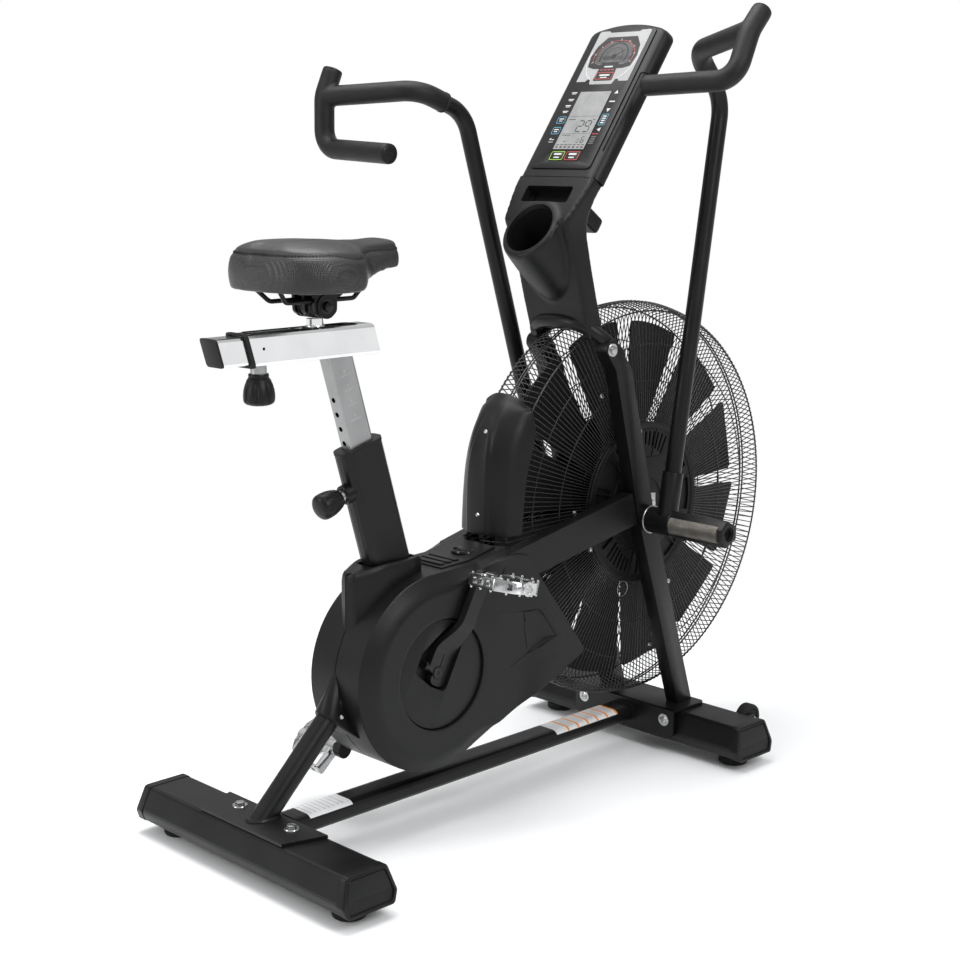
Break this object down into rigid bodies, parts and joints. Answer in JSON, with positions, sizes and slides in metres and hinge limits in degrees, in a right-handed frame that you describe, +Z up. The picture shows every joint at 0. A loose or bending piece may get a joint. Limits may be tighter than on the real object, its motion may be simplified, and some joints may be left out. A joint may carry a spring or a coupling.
{
  "type": "air bike",
  "caption": "Upright exercise bike with pedals, swinging handle arms, foot pegs, an adjustable saddle, a console on a mast and a large fan in a wire cage.",
  "frame": {"origin": "on the floor under the centre of the bounding box", "axes": "+X forward, +Y to the rider's left, +Z up"},
  "size_m": [1.3054, 0.6742, 1.3696],
  "materials": {
    "powder_black": "satin black powder coat",
    "charcoal_plastic": "fine grained black plastic",
    "black_rubber": "matt",
    "grip_foam": "matt foam",
    "chrome": "polished",
    "satin_steel": "satin",
    "cast_alloy": "bright cast",
    "cage_wire": "black coated wire",
    "saddle_vinyl": "matt textured vinyl",
    "silver_overlay": "satin silver film",
    "belt_rubber": "matt"
  },
  "bodies": {
    "frame": {"rear_stabiliser": "powder_black", "front_stabiliser": "powder_black", "base_bar": "powder_black", "rear_strut": "powder_black", "front_bracket": "powder_black", "frame_hoop": "powder_black", "frame_spine": "powder_black", "seat_sleeve": "powder_black", "upright_right": "powder_black", "beam_right": "powder_black", "pivot_boss_right": "powder_black", "foot_peg_right": "powder_black", "foot_rear_right": "black_rubber", "foot_front_right": "black_rubber", "cover_right": "charcoal_plastic", "hub_plate_right": "charcoal_plastic", "cage_right": "cage_wire", "upright_left": "powder_black", "beam_left": "powder_black", "pivot_boss_left": "powder_black", "foot_peg_left": "powder_black", "foot_rear_left": "black_rubber", "foot_front_left": "black_rubber", "cover_left": "charcoal_plastic", "hub_plate_left": "charcoal_plastic", "cage_left": "cage_wire", "cover_top": "charcoal_plastic", "cover_collar": "charcoal_plastic", "fan_guard": "charcoal_plastic", "console_housing": "charcoal_plastic", "console_mast": "charcoal_plastic", "crank_housing": "satin_steel", "fan_axle": "satin_steel", "console_overlay": "silver_overlay", "drive_belt": "belt_rubber"},
    "crank": {"crank_axle": "satin_steel", "crank_pulley": "charcoal_plastic", "crank_disc_right": "charcoal_plastic", "crank_disc_left": "charcoal_plastic", "crank_arm_right": "charcoal_plastic", "crank_arm_left": "charcoal_plastic"},
    "pedal_right": {"pedal_right": "cast_alloy"},
    "pedal_left": {"pedal_left": "cast_alloy"},
    "fan": {"fan_rotor": "charcoal_plastic", "fan_pulley": "charcoal_plastic"},
    "swing_arm_right": {"arm_right": "powder_black", "handle_right": "grip_foam"},
    "swing_arm_left": {"arm_left": "powder_black", "handle_left": "grip_foam"},
    "seat_post": {"seat_post": "chrome", "slider_tube": "chrome"},
    "seat_slider": {"slider_inner": "chrome"},
    "saddle": {"saddle_clamp": "powder_black", "saddle": "saddle_vinyl"},
    "post_knob": {"post_knob": "charcoal_plastic"},
    "slider_knob": {"slider_knob": "charcoal_plastic"},
    "transport_wheel_right": {"transport_wheel_right": "black_rubber"},
    "transport_wheel_left": {"transport_wheel_left": "black_rubber"},
    "start_key": {"start_key": "charcoal_plastic"},
    "stop_key": {"stop_key": "charcoal_plastic"}
  },
  "joints": [
    {"name": "crank_spin", "type": "hinge", "parent": "frame", "child": "crank", "pos_m": [-0.25454, 0, 0.2722], "axis": [0, 1, 0], "continuous": true},
    {"name": "pedal_right_spin", "type": "hinge", "parent": "crank", "child": "pedal_right", "pos_m": [-0.17104, 0, 0.42599], "axis": [0, 1, 0], "continuous": true},
    {"name": "pedal_left_spin", "type": "hinge", "parent": "crank", "child": "pedal_left", "pos_m": [-0.33805, 0, 0.11841], "axis": [0, 1, 0], "continuous": true},
    {"name": "fan_spin", "type": "hinge", "parent": "frame", "child": "fan", "pos_m": [0.27976, 0, 0.4848], "axis": [0, 1, 0], "continuous": true},
    {"name": "arm_right_swing", "type": "hinge", "parent": "frame", "child": "swing_arm_right", "pos_m": [0.23896, 0, 0.467], "axis": [0, 1, 0], "range_deg": [-28, 2]},
    {"name": "arm_left_swing", "type": "hinge", "parent": "frame", "child": "swing_arm_left", "pos_m": [0.23896, 0, 0.467], "axis": [0, 1, 0], "range_deg": [-2, 28]},
    {"name": "seat_height", "type": "slide", "parent": "frame", "child": "seat_post", "axis": [-0.2773, 0, 0.9608], "range_m": [-0.1, 0.06]},
    {"name": "saddle_slide", "type": "slide", "parent": "seat_post", "child": "seat_slider", "axis": [1, 0, 0], "range_m": [-0.06, 0.055]},
    {"name": "saddle_tilt", "type": "hinge", "parent": "seat_slider", "child": "saddle", "pos_m": [-0.45104, 0, 0.8955], "axis": [0, 1, 0], "range_deg": [-8, 8]},
    {"name": "post_knob_pull", "type": "slide", "parent": "frame", "child": "post_knob", "axis": [-0.9608, 0, -0.2773], "range_m": [0, 0.01], "stiffness_N_per_m": 800, "springref_m": -0.004},
    {"name": "slider_knob_pull", "type": "slide", "parent": "seat_post", "child": "slider_knob", "axis": [0, 0, -1], "range_m": [0, 0.01], "stiffness_N_per_m": 800, "springref_m": -0.004},
    {"name": "transport_wheel_right_spin", "type": "hinge", "parent": "frame", "child": "transport_wheel_right", "pos_m": [0.41946, -0.205, 0.067], "axis": [0, 1, 0], "continuous": true},
    {"name": "transport_wheel_left_spin", "type": "hinge", "parent": "frame", "child": "transport_wheel_left", "pos_m": [0.41946, 0.205, 0.067], "axis": [0, 1, 0], "continuous": true},
    {"name": "start_key_press", "type": "slide", "parent": "frame", "child": "start_key", "axis": [0.81, 0, -0.5864], "range_m": [0, 0.0009], "stiffness_N_per_m": 1500, "springref_m": -0.0003},
    {"name": "stop_key_press", "type": "slide", "parent": "frame", "child": "stop_key", "axis": [0.81, 0, -0.5864], "range_m": [0, 0.0009], "stiffness_N_per_m": 1500, "springref_m": -0.0003}
  ],
  "couplings": [
    {"joint": "fan_spin", "follows": "crank_spin", "ratio": 4.1667},
    {"joint": "arm_left_swing", "follows": "arm_right_swing", "ratio": -1}
  ]
}
